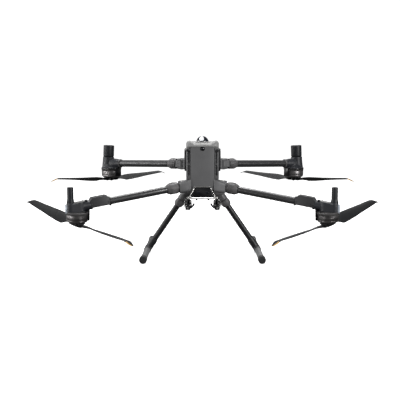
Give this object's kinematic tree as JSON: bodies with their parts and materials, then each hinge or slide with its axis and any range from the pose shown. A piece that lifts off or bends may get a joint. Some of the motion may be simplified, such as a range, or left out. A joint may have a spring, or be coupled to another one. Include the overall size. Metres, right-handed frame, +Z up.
{
  "type": "quadcopter drone",
  "caption": "Folding quadcopter drone with a tall box body, drooping tube arms on locking hinges, motors slung under pods, folding propellers and fixed skid legs.",
  "frame": {"origin": "on the ground midway between the skids, below the centre of the four rotors", "axes": "+Z up; -Y is the nose, where the forward camera looks; +X is the drone's own left-hand side, so it is on the right of a front view"},
  "size_m": [1.1288, 0.9283, 0.391],
  "materials": {
    "graphite_shell": "fine moulded texture",
    "pale_shell": "fine moulded texture",
    "black_plastic": "moulded, satin",
    "gloss_black": "polished",
    "smoked_dome": "polished, tinted",
    "painted_casting": "satin paint over casting",
    "bright_steel": "brushed",
    "rubber": "matte",
    "circuit_board": "solder mask",
    "leg_tube": "satin carbon tube with clear coat",
    "skid_tube": "satin tube",
    "lock_collar": "bead-blasted, anodised",
    "carbon_tube": "woven carbon under clear coat",
    "pod_plastic": "moulded, satin",
    "motor_base": "anodised",
    "motor_bell": "turned, dark anodised",
    "blade": "fibre-filled, satin",
    "battery_case": "moulded"
  },
  "bodies": {
    "fuselage": {"body_frame": "graphite_shell", "top_cover": "pale_shell", "nose_cover": "graphite_shell", "nose_side_trims": "graphite_shell", "side_vision_modules": "black_plastic", "nose_window": "gloss_black", "fpv_camera": "gloss_black", "beacon_dome": "smoked_dome", "arm_forks": "painted_casting", "hinge_pins": "bright_steel", "gimbal_frame": "bright_steel", "gimbal_dampers": "rubber", "gimbal_clamps": "black_plastic", "bottom_vision_module": "gloss_black", "main_board": "circuit_board", "leg_sockets": "painted_casting", "leg_tubes": "leg_tube", "leg_tees": "black_plastic", "skid_tubes": "skid_tube", "skid_caps": "rubber", "body_screws": "bright_steel"},
    "front_left_arm": {"front_arm_left": "carbon_tube", "front_pod_left": "pod_plastic", "front_antenna_left": "pod_plastic", "front_motor_base_left": "motor_base", "arm_module_left": "black_plastic"},
    "front_left_lock": {"front_lock_left": "lock_collar"},
    "front_left_rotor": {"front_rotor_left": "motor_bell"},
    "front_left_blade_out": {"front_blade_out_left": "blade"},
    "front_left_blade_in": {"front_blade_in_left": "blade"},
    "front_right_arm": {"front_arm_right": "carbon_tube", "front_pod_right": "pod_plastic", "front_antenna_right": "pod_plastic", "front_motor_base_right": "motor_base", "arm_module_right": "black_plastic"},
    "front_right_lock": {"front_lock_right": "lock_collar"},
    "front_right_rotor": {"front_rotor_right": "motor_bell"},
    "front_right_blade_out": {"front_blade_out_right": "blade"},
    "front_right_blade_in": {"front_blade_in_right": "blade"},
    "rear_left_arm": {"rear_arm_left": "carbon_tube", "rear_pod_left": "pod_plastic", "rear_antenna_left": "pod_plastic", "rear_motor_base_left": "motor_base"},
    "rear_left_lock": {"rear_lock_left": "lock_collar"},
    "rear_left_rotor": {"rear_rotor_left": "motor_bell"},
    "rear_left_blade_out": {"rear_blade_out_left": "blade"},
    "rear_left_blade_in": {"rear_blade_in_left": "blade"},
    "rear_right_arm": {"rear_arm_right": "carbon_tube", "rear_pod_right": "pod_plastic", "rear_antenna_right": "pod_plastic", "rear_motor_base_right": "motor_base"},
    "rear_right_lock": {"rear_lock_right": "lock_collar"},
    "rear_right_rotor": {"rear_rotor_right": "motor_bell"},
    "rear_right_blade_out": {"rear_blade_out_right": "blade"},
    "rear_right_blade_in": {"rear_blade_in_right": "blade"},
    "battery_left_pack": {"battery_left": "battery_case"},
    "leg_left_lock": {"leg_lock_left": "lock_collar"},
    "battery_right_pack": {"battery_right": "battery_case"},
    "leg_right_lock": {"leg_lock_right": "lock_collar"},
    "power_button_cap": {"power_button": "black_plastic"}
  },
  "joints": [
    {"name": "front_left_arm_fold", "type": "hinge", "parent": "fuselage", "child": "front_left_arm", "pos_m": [0.061, -0.143, 0.236], "axis": [0, 0, 1], "range_deg": [0, 104]},
    {"name": "front_left_lock_twist", "type": "hinge", "parent": "front_left_arm", "child": "front_left_lock", "pos_m": [0.061, -0.143, 0.236], "axis": [0.9087, -0.3918, -0.1444], "range_deg": [0, 90]},
    {"name": "front_left_rotor_spin", "type": "hinge", "parent": "front_left_arm", "child": "front_left_rotor", "pos_m": [0.366, -0.2745, 0.177], "axis": [-0.0585, -0.1357, 0.989], "continuous": true},
    {"name": "front_left_blade_out_fold", "type": "hinge", "parent": "front_left_rotor", "child": "front_left_blade_out", "pos_m": [0.38217, -0.25527, 0.14217], "axis": [-0.0585, -0.1357, 0.989], "range_deg": [0, 70]},
    {"name": "front_left_blade_in_fold", "type": "hinge", "parent": "front_left_rotor", "child": "front_left_blade_in", "pos_m": [0.35428, -0.28341, 0.13666], "axis": [-0.0585, -0.1357, 0.989], "range_deg": [-70, 0]},
    {"name": "front_right_arm_fold", "type": "hinge", "parent": "fuselage", "child": "front_right_arm", "pos_m": [-0.061, -0.143, 0.236], "axis": [0, 0, 1], "range_deg": [-104, 0]},
    {"name": "front_right_lock_twist", "type": "hinge", "parent": "front_right_arm", "child": "front_right_lock", "pos_m": [-0.061, -0.143, 0.236], "axis": [-0.9087, -0.3918, -0.1444], "range_deg": [0, 90]},
    {"name": "front_right_rotor_spin", "type": "hinge", "parent": "front_right_arm", "child": "front_right_rotor", "pos_m": [-0.366, -0.2745, 0.177], "axis": [0.0585, -0.1357, 0.989], "continuous": true},
    {"name": "front_right_blade_out_fold", "type": "hinge", "parent": "front_right_rotor", "child": "front_right_blade_out", "pos_m": [-0.38217, -0.25527, 0.14217], "axis": [0.0585, -0.1357, 0.989], "range_deg": [-70, 0]},
    {"name": "front_right_blade_in_fold", "type": "hinge", "parent": "front_right_rotor", "child": "front_right_blade_in", "pos_m": [-0.35428, -0.28341, 0.13666], "axis": [0.0585, -0.1357, 0.989], "range_deg": [0, 70]},
    {"name": "rear_left_arm_fold", "type": "hinge", "parent": "fuselage", "child": "rear_left_arm", "pos_m": [0.072, 0.111, 0.2915], "axis": [0, 0, 1], "range_deg": [-48, 0]},
    {"name": "rear_left_lock_twist", "type": "hinge", "parent": "rear_left_arm", "child": "rear_left_lock", "pos_m": [0.072, 0.111, 0.2915], "axis": [0.8542, 0.5192, -0.0279], "range_deg": [0, 90]},
    {"name": "rear_left_rotor_spin", "type": "hinge", "parent": "rear_left_arm", "child": "rear_left_rotor", "pos_m": [0.341, 0.2745, 0.265], "axis": [0, 0, 1], "continuous": true},
    {"name": "rear_left_blade_out_fold", "type": "hinge", "parent": "rear_left_rotor", "child": "rear_left_blade_out", "pos_m": [0.35459, 0.25982, 0.227], "axis": [0, 0, 1], "range_deg": [-70, 0]},
    {"name": "rear_left_blade_in_fold", "type": "hinge", "parent": "rear_left_rotor", "child": "rear_left_blade_in", "pos_m": [0.32741, 0.28918, 0.227], "axis": [0, 0, 1], "range_deg": [0, 70]},
    {"name": "rear_right_arm_fold", "type": "hinge", "parent": "fuselage", "child": "rear_right_arm", "pos_m": [-0.072, 0.111, 0.2915], "axis": [0, 0, 1], "range_deg": [0, 48]},
    {"name": "rear_right_lock_twist", "type": "hinge", "parent": "rear_right_arm", "child": "rear_right_lock", "pos_m": [-0.072, 0.111, 0.2915], "axis": [-0.8542, 0.5192, -0.0279], "range_deg": [0, 90]},
    {"name": "rear_right_rotor_spin", "type": "hinge", "parent": "rear_right_arm", "child": "rear_right_rotor", "pos_m": [-0.341, 0.2745, 0.265], "axis": [0, 0, 1], "continuous": true},
    {"name": "rear_right_blade_out_fold", "type": "hinge", "parent": "rear_right_rotor", "child": "rear_right_blade_out", "pos_m": [-0.35459, 0.25982, 0.227], "axis": [0, 0, 1], "range_deg": [0, 70]},
    {"name": "rear_right_blade_in_fold", "type": "hinge", "parent": "rear_right_rotor", "child": "rear_right_blade_in", "pos_m": [-0.32741, 0.28918, 0.227], "axis": [0, 0, 1], "range_deg": [-70, 0]},
    {"name": "battery_left_slide", "type": "slide", "parent": "fuselage", "child": "battery_left_pack", "axis": [0, 1, 0], "range_m": [0, 0.185]},
    {"name": "leg_left_lock_twist", "type": "hinge", "parent": "fuselage", "child": "leg_left_lock", "pos_m": [0.051, 0, 0.206], "axis": [0.5654, 0, -0.8248], "range_deg": [0, 60]},
    {"name": "battery_right_slide", "type": "slide", "parent": "fuselage", "child": "battery_right_pack", "axis": [0, 1, 0], "range_m": [0, 0.185]},
    {"name": "leg_right_lock_twist", "type": "hinge", "parent": "fuselage", "child": "leg_right_lock", "pos_m": [-0.051, 0, 0.206], "axis": [-0.5654, 0, -0.8248], "range_deg": [0, 60]},
    {"name": "power_button_press", "type": "slide", "parent": "fuselage", "child": "power_button_cap", "axis": [0, 0, -1], "range_m": [0, 0.0015], "stiffness_N_per_m": 400}
  ]
}
